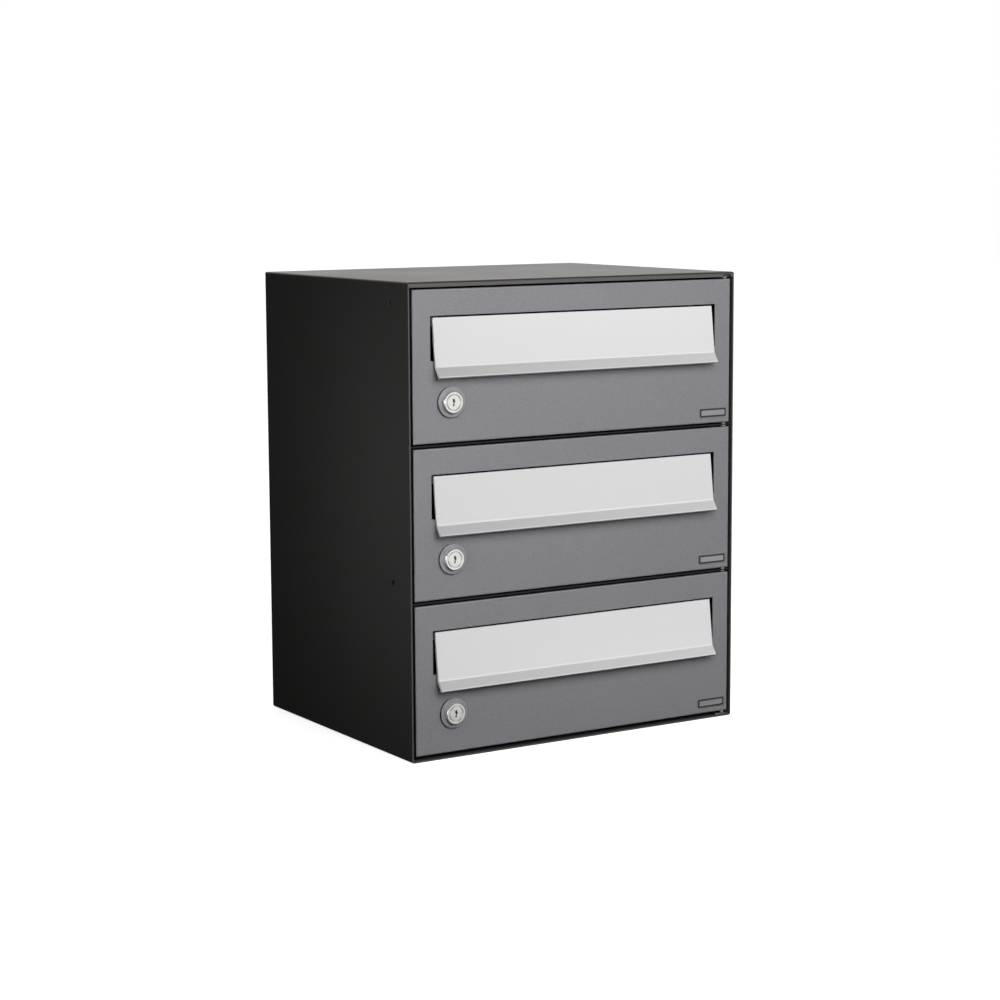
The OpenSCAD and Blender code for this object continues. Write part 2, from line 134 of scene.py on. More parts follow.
# Camera, lens in millimetres, and floor
CAMERA_PLACE = (-1.2563, -2.0195, 0.5462)
CAMERA_FORWARD = (0.52379, 0.84072, -0.13726)
CAMERA_RIGHT = (0.84837, -0.52938, -0.00506)
CAMERA_LENS, CAMERA_SENSOR = 85.76, 36.0
CAMERA_NEAR, CAMERA_FAR = 0.05, 60.0
FLOOR_RADIUS, FLOOR_STEPS, FLOOR_DROP = 12.0, 96, 0.2 * MM
FLOOR_GLOW = 0.72

# The studio's soft gradient: where it comes from, where it starts and ends, and how strong it is
GRADIENT_FROM = (0.7, 0.6, 0.4)
GRADIENT = {"From Min": 0.3, "From Max": 0.9, "To Min": 0.002, "To Max": 1.4}
GRADIENT_COLOUR = (1.0, 0.98, 0.96, 1)


def along(axis, length=1.0):
    """Vector of a length along one axis."""
    v = Vector((0, 0, 0))
    v[axis] = length
    return v


# ---------------------------------------------------------------- mesh tools

def cut(bm, axis, *places):
    """Cuts every face along planes square to an axis."""
    for place in places:
        geom = bm.verts[:] + bm.edges[:] + bm.faces[:]
        bmesh.ops.bisect_plane(bm, geom=geom, dist=TINY / 10, plane_co=along(axis, place),
                               plane_no=along(axis))


def between(point, low, high):
    """True if a point lies in the box between two corners."""
    return all(low[i] - TINY < point[i] < high[i] + TINY for i in range(3))


def edges_in(bm, low, high):
    """Edges with both ends between two corners."""
    return [e for e in bm.edges if all(between(v.co, low, high) for v in e.verts)]


def box_mesh(low, high):
    """A block between two corners."""
    bm = bmesh.new()
    low, high = Vector(low), Vector(high)
    size = Matrix.Diagonal((*(high - low), 1))
    bmesh.ops.create_cube(bm, size=1.0, matrix=Matrix.Translation((low + high) / 2) @ size)
    return bm


def sheet(axis, place, low, high):
    """A flat rectangle square to an axis, between two corners of the other two."""
    bm = box_mesh([place if i == axis else low[i] for i in range(3)],
                  [place + 1 if i == axis else high[i] for i in range(3)])
    doomed = [f for f in bm.faces if any(abs(v.co[axis] - place) > TINY for v in f.verts)]
    bmesh.ops.delete(bm, geom=doomed, context="FACES")
    return bm


def verts_in(made):
    """The vertices among an operator's results."""
    return [g for g in made if isinstance(g, bmesh.types.BMVert)]


def grow(bm, edges, move):
    """Extrudes edges by a vector, and gives the new outer edges."""
    made = bmesh.ops.extrude_edge_only(bm, edges=edges)["geom"]
    far = verts_in(made)
    bmesh.ops.translate(bm, vec=move, verts=far)
    far = set(far)
    return [g for g in made if isinstance(g, bmesh.types.BMEdge) and set(g.verts) <= far]


def push(bm, faces, move):
    """Extrudes faces as one region by a vector, and gives all that was made."""
    made = bmesh.ops.extrude_face_region(bm, geom=faces)["geom"]
    bmesh.ops.translate(bm, vec=move, verts=verts_in(made))
    return made


def outward(bm):
    """Turns every face outwards."""
    bmesh.ops.recalc_face_normals(bm, faces=bm.faces[:])


def circle(bm, centre, axis, radius, steps):
    """A ring of edges round an axis."""
    turn = along(Z).rotation_difference(along(axis)).to_matrix().to_4x4()
    ring = bmesh.ops.create_circle(bm, segments=steps, radius=radius,
                                   matrix=Matrix.Translation(centre) @ turn)
    return list({e for v in ring["verts"] for e in v.link_edges})


def fold(bm, edges, radius, steps=ROUND_STEPS):
    """Rounds the edges that a sheet is folded on."""
    bmesh.ops.bevel(bm, geom=edges, offset=radius, offset_type="OFFSET", segments=steps, profile=0.5,
                    affect="EDGES", material=-1, clamp_overlap=False, loop_slide=True)


def thicken(bm, thickness, outside):
    """Gives a sheet its wall, on the side away from a point that lies outside."""
    outward(bm)
    outside = Vector(outside)
    near = min(bm.faces, key=lambda f: (f.calc_center_median() - outside).length)
    if near.normal.dot(outside - near.calc_center_median()) < 0:
        bmesh.ops.reverse_faces(bm, faces=bm.faces[:])
    bmesh.ops.solidify(bm, geom=bm.faces[:], thickness=thickness)


def turned(profile, centre):
    """Turns a chain of (radius, distance along Y) pairs round the axis along Y through centre."""
    bm = bmesh.new()
    verts = [bm.verts.new(centre + along(X) * r + along(Y, d)) for r, d in profile]
    edges = [bm.edges.new(pair) for pair in zip(verts, verts[1:])]
    bmesh.ops.spin(bm, geom=verts + edges, cent=centre, axis=along(Y), angle=2 * math.pi,
                   steps=TURN_STEPS, use_merge=True, use_duplicate=False)
    bmesh.ops.remove_doubles(bm, verts=bm.verts[:], dist=TINY)
    return bm


def copy_of(node):
    """A merged copy of a frame piece, with its flat faces whole again."""
    bm = bmesh.new()
    bm.from_mesh(frame["nodes"][node].data)
    bmesh.ops.remove_doubles(bm, verts=bm.verts[:], dist=TINY)
    bmesh.ops.dissolve_limit(bm, angle_limit=math.radians(0.5), verts=bm.verts[:], edges=bm.edges[:])
    return bm


def make(name, bm, body, finish, slot, stands_for, soften, soften_steps=2, sharp=SHARP, **shades):
    """Softens and marks the sharp edges, and turns the mesh into a piece that rides a body.

    Each further argument names a mark and gives the test that its faces pass.
    A soften of 0 keeps the edges as they are.
    """
    edge_mark = bm.loops.layers.float.new("edge_wear")
    marks = [(bm.loops.layers.float.new(key), test) for key, test in shades.items()]
    if soften:
        edges = [e for e in bm.edges if len(e.link_faces) == 2 and e.calc_face_angle(0) > sharp]
        new = bmesh.ops.bevel(bm, geom=edges, offset=soften, offset_type="OFFSET",
                              segments=soften_steps, profile=0.5, affect="EDGES", material=-1,
                              clamp_overlap=True, loop_slide=True)
        for f in new["faces"]:
            for loop in f.loops:
                loop[edge_mark] = 1.0
    for f in bm.faces:
        f.smooth = True
        for mark, test in marks:
            if test(f):
                for loop in f.loops:
                    loop[mark] = 1.0
    for e in bm.edges:
        e.smooth = len(e.link_faces) == 2 and e.calc_face_angle(0) < SHARP
    mesh = bpy.data.meshes.new(name)
    bm.to_mesh(mesh)
    bm.free()
    piece = bpy.data.objects.new(name, mesh)
    bpy.context.scene.collection.objects.link(piece)
    for material in finish if isinstance(finish, (list, tuple)) else [finish]:
        mesh.materials.append(material)
    shading = piece.modifiers.new("Shading", "WEIGHTED_NORMAL")
    shading.keep_sharp = True
    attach(piece, body)
    if stands_for:
        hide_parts(*stands_for)
    return piece


# ---------------------------------------------------------------- materials

def node_kit(name):
    """A material with its output and shader, and short ways to add and link nodes."""
    material = bpy.data.materials.new(name)
    material.use_nodes = True
    tree = material.node_tree
    tree.nodes.clear()
    out = tree.nodes.new("ShaderNodeOutputMaterial")
    shader = tree.nodes.new("ShaderNodeBsdfPrincipled")
    tree.links.new(shader.outputs["BSDF"], out.inputs["Surface"])

    def add(kind, **values):
        node = tree.nodes.new(kind)
        for key, value in values.items():
            if hasattr(node, key):
                setattr(node, key, value)
            else:
                node.inputs[key.replace("_", " ")].default_value = value
        return node

    return material, shader, add, tree.links.new


def pattern(add, link, scale, stretch=(1, 1, 1), detail=2.0, rough=0.5):
    """Noise on the piece's own coordinates."""
    place = add("ShaderNodeTexCoord")
    shift = add("ShaderNodeMapping", Scale=stretch)
    link(place.outputs["Object"], shift.inputs["Vector"])
    noise = add("ShaderNodeTexNoise", Scale=scale, Detail=detail, Roughness=rough)
    link(shift.outputs["Vector"], noise.inputs["Vector"])
    return noise.outputs["Fac"]


def spread(add, link, source, low, high, from_low=0.3, from_high=0.7):
    """Maps a pattern to a range of values."""
    node = add("ShaderNodeMapRange", From_Min=from_low, From_Max=from_high, To_Min=low, To_Max=high)
    link(source, node.inputs["Value"])
    return node.outputs["Result"]


def blend_colour(add, link, share, first, second):
    """Mixes two colours by a pattern; either colour may be a socket."""
    mix = add("ShaderNodeMix", data_type="RGBA")
    link(share, mix.inputs["Factor"])
    a, b = [s for s in mix.inputs if s.type == "RGBA"]
    for socket, value in ((a, first), (b, second)):
        if isinstance(value, bpy.types.NodeSocket):
            link(value, socket)
        else:
            socket.default_value = (*value[:3], 1)
    return [s for s in mix.outputs if s.type == "RGBA"][0]


def relief(add, link, shader, source, strength, depth):
    """Raises a pattern off the surface."""
    bump = add("ShaderNodeBump", Strength=strength, Distance=depth)
    link(source, bump.inputs["Height"])
    link(bump.outputs["Normal"], shader.inputs["Normal"])


def edge_share(add, link, amount):
    """How worn a softened edge is, broken up by noise."""
    mark = add("ShaderNodeAttribute", attribute_name="edge_wear")
    chips = pattern(add, link, CHIPS, detail=3)
    amount_here = spread(add, link, chips, 0.35 * amount, amount, 0.35, 0.65)
    times = add("ShaderNodeMath", operation="MULTIPLY")
    link(mark.outputs["Fac"], times.inputs[0])
    link(amount_here, times.inputs[1])
    return times.outputs["Value"]


def shade(colour, factor):
    """A colour made lighter or darker."""
    return tuple(min(1.0, c * factor) for c in colour[:3])


def two_tones(add, link, source, colour, dark, light):
    """The colour in two tones that a pattern mixes."""
    return blend_colour(add, link, spread(add, link, source, 0, 1), shade(colour, dark),
                        shade(colour, light))


def folded(add, link, colour):
    """Paints shade on the marked fold and on the doors' returns, and gives the flange its own lighter
    tone.
    """
    # The fold and the doors' returns get painted shade; the flange gets a lighter paint of its own.
    fold_mark = add("ShaderNodeAttribute", attribute_name="fold_shade")
    flange_mark = add("ShaderNodeAttribute", attribute_name="flange_shade")
    return_mark = add("ShaderNodeAttribute", attribute_name="return_shade")
    returns_shaded = blend_colour(add, link, return_mark.outputs["Fac"], colour, RETURN_PAINTED_SHADE)
    lighter = blend_colour(add, link, flange_mark.outputs["Fac"], returns_shaded, FLANGE_TONE)
    return blend_colour(add, link, fold_mark.outputs["Fac"], lighter, FOLD_PAINTED_SHADE)


def powder_coat(name, colour, roughness, grain, edge_light, specular):
    """Fine-textured powder coat: tiny leathery grain, faint clouds of tone, lighter folded edges, and
    painted shade on the marked folds and door returns.
    """
    material, shader, add, link = node_kit(name)
    clouds = pattern(add, link, COAT_CLOUDS, detail=3)
    fine = pattern(add, link, COAT_GRAIN, detail=3, rough=0.6)
    tone = two_tones(add, link, clouds, colour, 0.95, 1.05)
    specks = blend_colour(add, link, spread(add, link, fine, 0, 1, 0.35, 0.65), tone, shade(colour, 1.3))
    worn = blend_colour(add, link, edge_share(add, link, edge_light), specks, shade(colour, 2.2))
    # The marked fold and door returns are painted dark here as shade.
    link(folded(add, link, worn), shader.inputs["Base Color"])
    link(spread(add, link, clouds, roughness - 0.03, roughness + 0.04), shader.inputs["Roughness"])
    shader.inputs["Specular IOR Level"].default_value = specular
    relief(add, link, shader, fine, grain, 0.06 * MM)
    return material


def drawn_aluminium(name, colour, roughness):
    """Satin anodised aluminium with a hair-fine grain along its length."""
    material, shader, add, link = node_kit(name)
    grain = pattern(add, link, DRAWN_LINES, stretch=(0.02, 1, 1), detail=3)
    pores = pattern(add, link, DRAWN_PORES, detail=2)
    clouds = pattern(add, link, DRAWN_CLOUDS, stretch=(0.4, 1, 1), detail=2)
    tone = two_tones(add, link, clouds, colour, 0.985, 1.0)
    dull = blend_colour(add, link, spread(add, link, pores, 0, 1), tone, shade(colour, 0.96))
    lines = blend_colour(add, link, spread(add, link, grain, 0, 1), dull, shade(colour, 0.975))
    polished = blend_colour(add, link, edge_share(add, link, 0.5), lines, (0.93, 0.93, 0.94))
    link(polished, shader.inputs["Base Color"])
    shader.inputs["Metallic"].default_value = 1.0
    link(spread(add, link, grain, roughness - 0.015, roughness + 0.02), shader.inputs["Roughness"])
    relief(add, link, shader, grain, 0.04, 0.01 * MM)
    return material


def turned_metal(name, colour, roughness, centre, rings):
    """Metal with faint tool rings round an axis along Y."""
    material, shader, add, link = node_kit(name)
    place = add("ShaderNodeTexCoord")
    shift = add("ShaderNodeMapping", Location=(-centre[0], 0, -centre[2]), Scale=(1, 0, 1))
    link(place.outputs["Object"], shift.inputs["Vector"])
    radius = add("ShaderNodeVectorMath", operation="LENGTH")
    link(shift.outputs["Vector"], radius.inputs[0])
    rings_noise = add("ShaderNodeTexNoise", noise_dimensions="1D", Scale=rings, Detail=2.0)
    link(radius.outputs["Value"], rings_noise.inputs["W"])
    clouds = pattern(add, link, TURNED_CLOUDS, detail=3)
    tone = two_tones(add, link, clouds, colour, 0.94, 1.0)
    worn = blend_colour(add, link, edge_share(add, link, 0.6), tone, shade(colour, 1.1))
    link(worn, shader.inputs["Base Color"])
    shader.inputs["Metallic"].default_value = 1.0
    uneven = spread(add, link, rings_noise.outputs["Fac"], roughness - 0.05, roughness + 0.07)
    link(uneven, shader.inputs["Roughness"])
    relief(add, link, shader, rings_noise.outputs["Fac"], 0.3, 0.012 * MM)
    return material


def zinc_plate(name, colour, roughness):
    """Zinc plated steel: small crystals that differ in tone and gloss."""
    material, shader, add, link = node_kit(name)
    place = add("ShaderNodeTexCoord")
    crystals = add("ShaderNodeTexVoronoi", Scale=CRYSTALS, Randomness=1.0)
    link(place.outputs["Object"], crystals.inputs["Vector"])
    split = add("ShaderNodeSeparateColor")
    link(crystals.outputs["Color"], split.inputs["Color"])
    clouds = pattern(add, link, ZINC_STAINS, detail=4)
    tone = blend_colour(add, link, split.outputs["Red"], shade(colour, 0.88), shade(colour, 1.06))
    stain = blend_colour(add, link, spread(add, link, clouds, 0, 0.5, 0.45, 0.7), tone, (0.52, 0.5, 0.44))
    worn = blend_colour(add, link, edge_share(add, link, 0.5), stain, shade(colour, 1.25))
    link(worn, shader.inputs["Base Color"])
    shader.inputs["Metallic"].default_value = 1.0
    uneven = spread(add, link, split.outputs["Green"], roughness - 0.06, roughness + 0.06, 0, 1)
    link(uneven, shader.inputs["Roughness"])
    relief(add, link, shader, clouds, 0.15, 0.03 * MM)
    return material


def moulded(name, colour, roughness, grain=0.15, specular=0.5):
    """Rubber or plastic with a fine moulded skin."""
    material, shader, add, link = node_kit(name)
    skin = pattern(add, link, SKIN_GRAIN, detail=3)
    clouds = pattern(add, link, SKIN_CLOUDS, detail=2)
    tone = two_tones(add, link, clouds, colour, 0.88, 1.12)
    dusty = blend_colour(add, link, edge_share(add, link, 0.4), tone, shade(colour, 1.9))
    link(dusty, shader.inputs["Base Color"])
    link(spread(add, link, skin, roughness - 0.05, roughness + 0.05), shader.inputs["Roughness"])
    shader.inputs["Specular IOR Level"].default_value = specular
    relief(add, link, shader, skin, grain, 0.03 * MM)
    return material


MATERIALS = {}


def material(key, maker, *args, **values):
    """Makes a material once, and gives it again to every later piece."""
    if key not in MATERIALS:
        MATERIALS[key] = maker(key, *args, **values)
    return MATERIALS[key]


def casing_paint(colours):
    """Dark coat of the casing and the back."""
    return material("casing_paint", powder_coat, colours.casing_colour, roughness=0.5, grain=0.25,
                    edge_light=0.15, specular=0.5)


def inner_paint(colours):
    """Duller coat of the shelves, darkened as painted shade for the unlit inside of the cabinet."""
    return material("inner_paint", powder_coat, shade(colours.casing_colour, 0.35), roughness=0.6,
                    grain=0.25, edge_light=0.1, specular=0.15)


def door_paint(colours):
    """Grey coat of the doors."""
    return material("door_paint", powder_coat, colours.door_colour, roughness=0.46, grain=0.22,
                    edge_light=0.3, specular=0.5)


def zinc(colours):
    """Bright zinc plate of the fittings."""
    return material("zinc_steel", zinc_plate, colours.zinc_colour, roughness=0.36)


# ---------------------------------------------------------------- settings

def colour_setting(name, description, value):
    """A colour that can be changed."""
    return bpy.props.FloatVectorProperty(name=name, description=description, subtype="COLOR", size=3,
                                         min=0.0, max=1.0, default=value)


def length_setting(name, description, value, low, high):
    """A length that can be changed."""
    return bpy.props.FloatProperty(name=name, description=description, default=value, min=low, max=high,
                                   unit="LENGTH", subtype="DISTANCE", precision=5)


class MailboxColours(bpy.types.PropertyGroup):
    """Colours of the finishes."""
    casing_colour: colour_setting("Casing", "Powder coat of the casing, shelves and back",
                                  (0.05, 0.0485, 0.0475))
    door_colour: colour_setting("Doors", "Powder coat of the doors", (0.172, 0.17, 0.182))
    aluminium_colour: colour_setting("Flaps", "Anodised aluminium of the letter flaps",
                                     (0.86, 0.86, 0.865))
    nickel_colour: colour_setting("Locks", "Nickel of the lock heads and plugs", (0.97, 0.965, 0.94))
    rosette_colour: colour_setting("Rosettes", "Face of the rings round the locks", (0.24, 0.24, 0.25))
    zinc_colour: colour_setting("Fittings", "Zinc plate of the strikes, nuts and cams",
                                (0.46, 0.465, 0.48))
    plate_colour: colour_setting("Plate", "Rim of the blank plates", (0.02, 0.02, 0.022))
    plate_field_colour: colour_setting("Plate field", "Blank field of the plates", (0.42, 0.42, 0.43))


class MailboxSizes(bpy.types.PropertyGroup):
    """Sizes that give the sheet metal its look."""
    strike_sheet: length_setting("Strike sheet", "Thickness of the strike angles",
                                 1.5 * MM, 0.8 * MM, 2 * MM)
    casing_fold: length_setting("Casing fold", "Outside radius of the casing's folds",
                                2 * MM, 1 * MM, 4 * MM)
    soft_edge: length_setting("Soft edge", "Radius that the coating leaves on a cut edge",
                              0.25 * MM, 0.05 * MM, 0.5 * MM)


# ---------------------------------------------------------------- pieces of the cabinet

class MAILBOX_OT_casing(bpy.types.Operator):
    """Folded casing with its front flange and its side holes"""
    bl_idname = "mailbox.casing"
    bl_label = "Casing"

    def execute(self, context):
        sizes, colours = context.scene.mailbox_sizes, context.scene.mailbox_colours
        low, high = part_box("casing")

        # Faces on the top fold get the painted near-black shade line.
        def on_fold(f):
            """True on the bend between the top and the front flange, but not on the flat of either."""
            middle = f.calc_center_median()
            return (middle.z > high.z - sizes.casing_fold and middle.y < low.y + sizes.casing_fold
                    and 0.15 < -f.normal.y < 0.985 and f.normal.z > 0.1)

        def on_flange(f):
            """True on the front of the top flange."""
            middle = f.calc_center_median()
            return high.z - TOP_FLANGE < middle.z < high.z - sizes.casing_fold and f.normal.y < -0.9

        bm = copy_of("casing")
        cut(bm, X, low.x + FLANGE_ENDS, high.x - FLANGE_ENDS)
        make("casing_shell", bm, "cabinet", casing_paint(colours), "casing_paint", ["casing"], 0,
             fold_shade=on_fold, flange_shade=on_flange)
        return {"FINISHED"}


class MAILBOX_OT_inner_panels(bpy.types.Operator):
    """Back panel with its wall holes, and the two shelves"""
    bl_idname = "mailbox.inner_panels"
    bl_label = "Back and shelves"

    def execute(self, context):
        sizes, colours = context.scene.mailbox_sizes, context.scene.mailbox_colours
        # The shelves take the darkened copy of the casing's coat: painted shade of the cabinet's dark
        # inside.
        outer, inner = casing_paint(colours), inner_paint(colours)
        for node, paint in (("back_panel", outer), ("lower_shelf", inner), ("upper_shelf", inner)):
            make(f"{node}_sheet", copy_of(node), "cabinet", paint, "casing_paint", [node],
                 sizes.soft_edge)
        return {"FINISHED"}


class MAILBOX_OT_fittings(bpy.types.Operator):
    """Strikes, hinge plates and hinge pins on the cabinet"""
    bl_idname = "mailbox.fittings"
    bl_label = "Strikes and hinges"

    def execute(self, context):
        sizes, colours = context.scene.mailbox_sizes, context.scene.mailbox_colours
        for level in LEVELS:
            node = f"{level}_strike"
            low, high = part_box(node)
            bm = bmesh.new()
            corners = ((low.x, high.y, low.z), (low.x, low.y, low.z), (high.x, low.y, low.z))
            chain = [bm.verts.new(p) for p in corners]
            grow(bm, [bm.edges.new(pair) for pair in zip(chain, chain[1:])], along(Z, high.z - low.z))
            fold(bm, edges_in(bm, low, (low.x, low.y, high.z)), sizes.strike_sheet * STRIKE_FOLD)
            thicken(bm, sizes.strike_sheet, (low.x - CLEAR, high.y, (low.z + high.z) / 2))
            make(f"{level}_strike_angle", bm, "cabinet", zinc(colours), "zinc_steel", [node],
                 sizes.soft_edge)
        black_zinc = material("black_zinc", zinc_plate, (0.1, 0.1, 0.105), roughness=0.42)
        for node in ("top_hinge_plate", "bottom_hinge_plate"):
            make(f"{node}_steel", copy_of(node), "cabinet", black_zinc, "zinc_steel", [node],
                 sizes.soft_edge)
        steel = material("pin_steel", zinc_plate, (0.55, 0.55, 0.55), roughness=0.32)
        make("hinge_pin_set", copy_of("hinge_pins"), "cabinet", steel, "pin_steel", ["hinge_pins"],
             ROUND_EDGE)
        return {"FINISHED"}


# ---------------------------------------------------------------- pieces of each door

class MAILBOX_OT_doors(bpy.types.Operator):
    """Folded doors with their letter slots, lugs and blank plates"""
    bl_idname = "mailbox.doors"
    bl_label = "Doors"

    def execute(self, context):
        sizes, colours = context.scene.mailbox_sizes, context.scene.mailbox_colours
        paint = door_paint(colours)
        for level in LEVELS:
            body, node = f"{level}_door", f"{level}_door_panel"
            low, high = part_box(node)

            # The doors' outer folded edges get painted shade, darkened as they lie in the dark gaps.
            def on_return(f):
                """True on the outer side of the door's four folded edges."""
                middle = f.calc_center_median()
                outer = max(abs(middle.x - (low.x + high.x) / 2) - (high.x - low.x) / 2,
                            abs(middle.z - (low.z + high.z) / 2) - (high.z - low.z) / 2)
                return outer > -RETURN_DEPTH and abs(f.normal.y) < 0.3

            make(f"{level}_door_skin", copy_of(node), body, paint, "door_paint", [node], sizes.soft_edge,
                 return_shade=on_return)
            lugs = f"{level}_flap_lugs"
            make(f"{level}_flap_hooks", copy_of(lugs), body, paint, "door_paint", [lugs], 0)
            self.plate(level, body, colours)
        return {"FINISHED"}

    def plate(self, level, body, colours):
        """Blank plate: a dark rim round a plain lighter field."""
        node = f"{level}_plate"
        low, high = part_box(node)
        bm = sheet(Y, high.y, low, high)
        bmesh.ops.bevel(bm, geom=bm.verts[:], offset=PLATE_CORNER, offset_type="OFFSET",
                        segments=PLATE_STEPS, profile=0.5, affect="VERTICES", material=-1)
        cut(bm, X, low.x + PLATE_RIM, high.x - PLATE_RIM)
        cut(bm, Z, low.z + PLATE_RIM, high.z - PLATE_RIM)
        made = push(bm, bm.faces[:], along(Y, low.y - high.y))
        middle = (low + high) / 2
        inner = [g for g in made if isinstance(g, bmesh.types.BMFace)
                 and all(abs(g.calc_center_median()[a] - middle[a]) < TINY * 10 for a in (X, Z))]
        if len(inner) != 1:
            raise RuntimeError("the plate's field is not whole")
        bmesh.ops.inset_region(bm, faces=inner, thickness=PLATE_STEP, depth=0)
        bmesh.ops.translate(bm, vec=along(Y, PLATE_SUNK), verts=inner[0].verts[:])
        outward(bm)
        inner[0].material_index = 1
        rim = material("plate_black", moulded, colours.plate_colour, roughness=0.35)
        field = material("plate_field", drawn_aluminium, colours.plate_field_colour, roughness=0.4)
        make(f"{level}_blank_plate", bm, body, [rim, field], "plate_black", [node], FINE_EDGE)


class MAILBOX_OT_flaps(bpy.types.Operator):
    """Letter flaps, with the knuckles and pins that they turn on, and the buffers that they rest on"""
    bl_idname = "mailbox.flaps"
    bl_label = "Letter flaps"

    def execute(self, context):
        colours = context.scene.mailbox_colours
        metal = material("flap_aluminium", drawn_aluminium, colours.aluminium_colour, roughness=0.36)
        cut_end = material("flap_cut_end", moulded, (0.62, 0.62, 0.62), roughness=0.55)
        rubber = material("buffer_rubber", moulded, (0.02, 0.02, 0.02), roughness=0.8, grain=0.4)
        for level in LEVELS:
            node, door = f"{level}_flap", f"{level}_door"
            low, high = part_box(node)
            joint = next(j for j in frame["joints"] if j["name"] == f"{level}_flap_hinge")
            bm = self.section(low, high)
            bm.normal_update()
            for f in bm.faces:
                f.material_index = 1 if abs(f.normal.x) > 0.9 else 0
            self.place(bm, Vector(joint["pos_m"]))
            make(f"{level}_flap_profile", bm, node, [metal, cut_end], "flap_aluminium", [node],
                 ROUND_EDGE, 3)
            pins, buffers = f"{level}_flap_pins", f"{level}_flap_buffers"
            make(f"{level}_flap_pivots", copy_of(pins), door, zinc(colours), "zinc_steel", [pins],
                 SMALL_EDGE)
            make(f"{level}_rest_buffers", copy_of(buffers), door, rubber, "buffer_rubber", [buffers],
                 ROUND_EDGE)
        return {"FINISHED"}

    def section(self, low, high):
        """Folded face and lip, with a round knuckle at each end, about an axis along X at the origin."""
        top, bottom = KNUCKLE_RADIUS, KNUCKLE_RADIUS - FACE_HEIGHT
        tilt = LEAN - LIP_LEAN
        half = tilt / 2
        nose = FLAP_THICK / 2
        # The front line of the sheet: the top edge, the fold and the lip's end
        fold_centre = Vector((0, nose - AXIS_TO_FACE, bottom))
        off_lip = Vector((0, -math.cos(tilt), -math.sin(tilt)))
        down_lip = Vector((0, math.sin(tilt), -math.cos(tilt)))
        corner = fold_centre + Vector((0, -math.cos(half), -math.sin(half))) * (nose / math.cos(half))
        lip_end = fold_centre + off_lip * nose + down_lip * LIP_LENGTH
        chain = [Vector((0, -AXIS_TO_FACE, top)), corner, lip_end]
        bm = bmesh.new()
        verts = [bm.verts.new(p + along(X, low.x)) for p in chain]
        grow(bm, [bm.edges.new(pair) for pair in zip(verts, verts[1:])], along(X, high.x - low.x))
        creases = [e for e in bm.edges if len(e.link_faces) == 2]
        fold(bm, creases, CREASE_RADIUS, CREASE_STEPS)
        cut(bm, X, low.x + KNUCKLE_LENGTH, high.x - KNUCKLE_LENGTH)
        cut(bm, Z, -KNUCKLE_RADIUS)
        thicken(bm, FLAP_THICK, (0, -1, 0))
        # Knuckles grow from the sheet's rear at both ends
        rear = [f for f in bm.faces if f.normal.y > 0.95 and f.calc_center_median().z > -KNUCKLE_RADIUS
                and abs(f.calc_center_median().x) > abs(low.x) - KNUCKLE_LENGTH]
        push(bm, rear, along(Y, AXIS_TO_FACE - FLAP_THICK + KNUCKLE_RADIUS))
        bmesh.ops.delete(bm, geom=rear, context="FACES_ONLY")
        lowest = min(v.co.z for v in bm.verts)
        lengthways = [e for e in bm.edges if abs(e.verts[0].co.x - e.verts[1].co.x) > LONG_EDGE]
        lip = [e for e in lengthways if len(e.link_faces) == 2 and e.calc_face_angle(0) > 1
               and all(v.co.z < lowest + FLAP_THICK for v in e.verts)]
        knuckle = [e for e in lengthways if all(v.co.y > KNUCKLE_RADIUS - TINY * 10 for v in e.verts)]
        fold(bm, knuckle, KNUCKLE_RADIUS - ROUND_SPARE, KNUCKLE_STEPS)
        fold(bm, lip, nose - ROUND_SPARE)
        for side in (low.x, high.x):
            self.bore(bm, side)
        return bm

    def bore(self, bm, x):
        """Pin hole in the end of a knuckle."""
        ends = [f for f in bm.faces if all(abs(v.co.x - x) < TINY for v in f.verts)]
        cell = min(ends, key=lambda f: f.calc_center_median().length)
        if len(cell.verts) < 12:
            raise RuntimeError("the knuckle's end face is not whole")
        rim = cell.edges[:]
        bmesh.ops.delete(bm, geom=[cell], context="FACES_ONLY")
        hoop = circle(bm, along(X, x), X, FLAP_BORE, BORE_STEPS)
        bmesh.ops.triangle_fill(bm, use_beauty=True, edges=rim + hoop, normal=along(X, x))
        inner = grow(bm, hoop, along(X, math.copysign(KNUCKLE_LENGTH * BORE_SHARE, -x)))
        bmesh.ops.edgeloop_fill(bm, edges=inner)

    def place(self, bm, axis_at):
        """Leans the section and moves it to its axis."""
        outward(bm)
        bmesh.ops.rotate(bm, cent=(0, 0, 0), matrix=Matrix.Rotation(-LEAN, 3, "X"), verts=bm.verts[:])
        bmesh.ops.translate(bm, vec=axis_at, verts=bm.verts[:])


